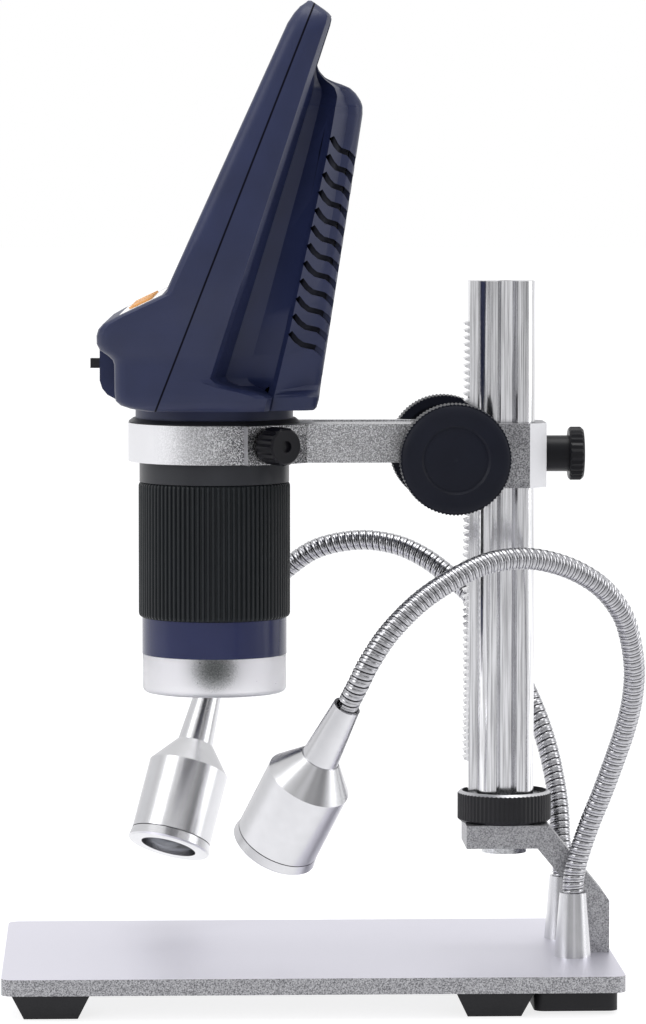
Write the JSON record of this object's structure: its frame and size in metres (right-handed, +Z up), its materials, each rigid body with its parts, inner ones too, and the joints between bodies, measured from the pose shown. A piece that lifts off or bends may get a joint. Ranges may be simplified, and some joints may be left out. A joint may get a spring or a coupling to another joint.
{
  "type": "digital microscope",
  "caption": "Upright digital microscope with its own tilted screen, on a rack-and-pinion column over a flat stage plate, with gooseneck lamps.",
  "frame": {"origin": "on the floor, under the middle of the whole outline seen from above", "axes": "+Z up, +X towards the column, so the screen faces -X; +Y is to the left of someone who faces the screen's back, on the rear lamp's side"},
  "size_m": [0.1977, 0.1582, 0.3083],
  "materials": {
    "plate_alu": "satin anodised, with brushed edges",
    "foot_rubber": "matte",
    "sand_alu": "bead blasted and anodised grey",
    "column_alu": "bright anodised",
    "steel": "bright, machined",
    "black_alu": "black anodised, satin",
    "black_plastic": "moulded, matte",
    "navy_plastic": "moulded, satin",
    "barrel_black": "moulded, satin",
    "screen_glass": "polished black cover glass",
    "panel": "smooth",
    "board": "solder mask",
    "cell": "foil wrapped",
    "keypad": "printed foil overlay",
    "button": "moulded, satin",
    "optic_glass": "coated and polished",
    "frosted": "frosted clear",
    "lamp_alu": "polished, turned",
    "led_white": "white board with yellow dies"
  },
  "bodies": {
    "stand": {"base_plate": "plate_alu", "feet": "foot_rubber", "stand_bracket": "sand_alu", "bracket_screws": "steel", "wire_box": "black_plastic", "lamp_board": "board", "boot_nuts": "steel", "front_boot": "steel", "rear_boot": "steel"},
    "column": {"column": "column_alu", "rack": "column_alu", "column_foot": "steel"},
    "lock_nut": {"lock_nut": "black_alu"},
    "carriage": {"carriage_block": "sand_alu", "holder_arm": "sand_alu", "arm_screws": "steel"},
    "carriage_screw": {"carriage_screw": "black_alu"},
    "ring_screw": {"ring_screw": "black_alu"},
    "drive": {"pinion_shaft": "steel", "front_knob": "black_alu", "rear_knob": "black_alu"},
    "head": {"front_shell": "navy_plastic", "rear_shell": "navy_plastic", "shell_screws": "steel", "screen_glass": "screen_glass", "lcd_panel": "panel", "main_board": "board", "battery": "cell", "keypad_plate": "keypad", "switch_housing": "navy_plastic", "usb_socket": "steel", "head_collar": "navy_plastic", "head_flange": "barrel_black", "barrel_tube": "barrel_black", "sensor_board": "board", "led_housing": "navy_plastic", "led_board": "led_white", "lens_window": "optic_glass", "shade": "frosted"},
    "focus_ring": {"focus_ring": "barrel_black"},
    "lens": {"lens_cell": "black_alu", "objective_lens": "optic_glass"},
    "power_switch": {"power_switch": "black_plastic"},
    "button_power": {"button_power": "button"},
    "button_menu": {"button_menu": "button"},
    "button_up": {"button_up": "button"},
    "button_down": {"button_down": "button"},
    "button_ok": {"button_ok": "button"},
    "front_lamp": {"front_gooseneck": "steel", "front_neck": "lamp_alu", "front_housing": "lamp_alu", "front_bezel": "lamp_alu", "front_lens": "optic_glass", "front_led": "led_white"},
    "rear_lamp": {"rear_gooseneck": "steel", "rear_neck": "lamp_alu", "rear_housing": "lamp_alu", "rear_bezel": "lamp_alu", "rear_lens": "optic_glass", "rear_led": "led_white"}
  },
  "joints": [
    {"name": "column_turn", "type": "hinge", "parent": "stand", "child": "column", "pos_m": [0.0582, 0, 0.053], "axis": [0, 0, 1], "range_deg": [-15, 15]},
    {"name": "lock_nut_turn", "type": "hinge", "parent": "column", "child": "lock_nut", "pos_m": [0.0582, 0, 0.053], "axis": [0, 0, 1], "range_deg": [0, 720]},
    {"name": "carriage_slide", "type": "slide", "parent": "column", "child": "carriage", "axis": [0, 0, 1], "range_m": [-0.078, 0.038]},
    {"name": "knob_turn", "type": "hinge", "parent": "carriage", "child": "drive", "pos_m": [0.04052, 0, 0.1689], "axis": [0, 1, 0], "range_deg": [-860, 420]},
    {"name": "head_turn", "type": "hinge", "parent": "carriage", "child": "head", "pos_m": [-0.0329, 0, 0.1789], "axis": [0, 0, 1], "continuous": true},
    {"name": "focus_ring_turn", "type": "hinge", "parent": "head", "child": "focus_ring", "pos_m": [-0.0329, 0, 0.139], "axis": [0, 0, 1], "range_deg": [-150, 150]},
    {"name": "lens_focus", "type": "slide", "parent": "head", "child": "lens", "axis": [0, 0, 1], "range_m": [-0.00495, 0.00495]},
    {"name": "ring_screw_turn", "type": "hinge", "parent": "carriage", "child": "ring_screw", "pos_m": [-0.01657, -0.02421, 0.1729], "axis": [0.5592, -0.829, 0], "range_deg": [0, 1080]},
    {"name": "carriage_screw_turn", "type": "hinge", "parent": "carriage", "child": "carriage_screw", "pos_m": [0.07045, 0, 0.1689], "axis": [1, 0, 0], "range_deg": [0, 1080]},
    {"name": "power_switch_slide", "type": "slide", "parent": "head", "child": "power_switch", "axis": [0.0349, 0.9994, 0], "range_m": [0, 0.004]},
    {"name": "button_power_press", "type": "slide", "parent": "head", "child": "button_power", "axis": [0.4292, -0.015, -0.9031], "range_m": [0, 0.0006], "stiffness_N_per_m": 500, "springref_m": -0.001},
    {"name": "button_menu_press", "type": "slide", "parent": "head", "child": "button_menu", "axis": [0.4292, -0.015, -0.9031], "range_m": [0, 0.0006], "stiffness_N_per_m": 500, "springref_m": -0.001},
    {"name": "button_up_press", "type": "slide", "parent": "head", "child": "button_up", "axis": [0.4292, -0.015, -0.9031], "range_m": [0, 0.0006], "stiffness_N_per_m": 500, "springref_m": -0.001},
    {"name": "button_down_press", "type": "slide", "parent": "head", "child": "button_down", "axis": [0.4292, -0.015, -0.9031], "range_m": [0, 0.0006], "stiffness_N_per_m": 500, "springref_m": -0.001},
    {"name": "button_ok_press", "type": "slide", "parent": "head", "child": "button_ok", "axis": [0.4292, -0.015, -0.9031], "range_m": [0, 0.0006], "stiffness_N_per_m": 500, "springref_m": -0.001},
    {"name": "front_lamp_swing", "type": "hinge", "parent": "stand", "child": "front_lamp", "pos_m": [0.0784, -0.0186, 0.033], "axis": [0, 0, 1], "range_deg": [-5, 30]},
    {"name": "rear_lamp_swing", "type": "hinge", "parent": "stand", "child": "rear_lamp", "pos_m": [0.0784, 0.0186, 0.033], "axis": [0, 0, 1], "range_deg": [-30, 5]}
  ],
  "couplings": [
    {"joint": "knob_turn", "follows": "carriage_slide", "rad_per_m": 190.48},
    {"joint": "focus_ring_turn", "follows": "lens_focus", "rad_per_m": 526.32}
  ]
}
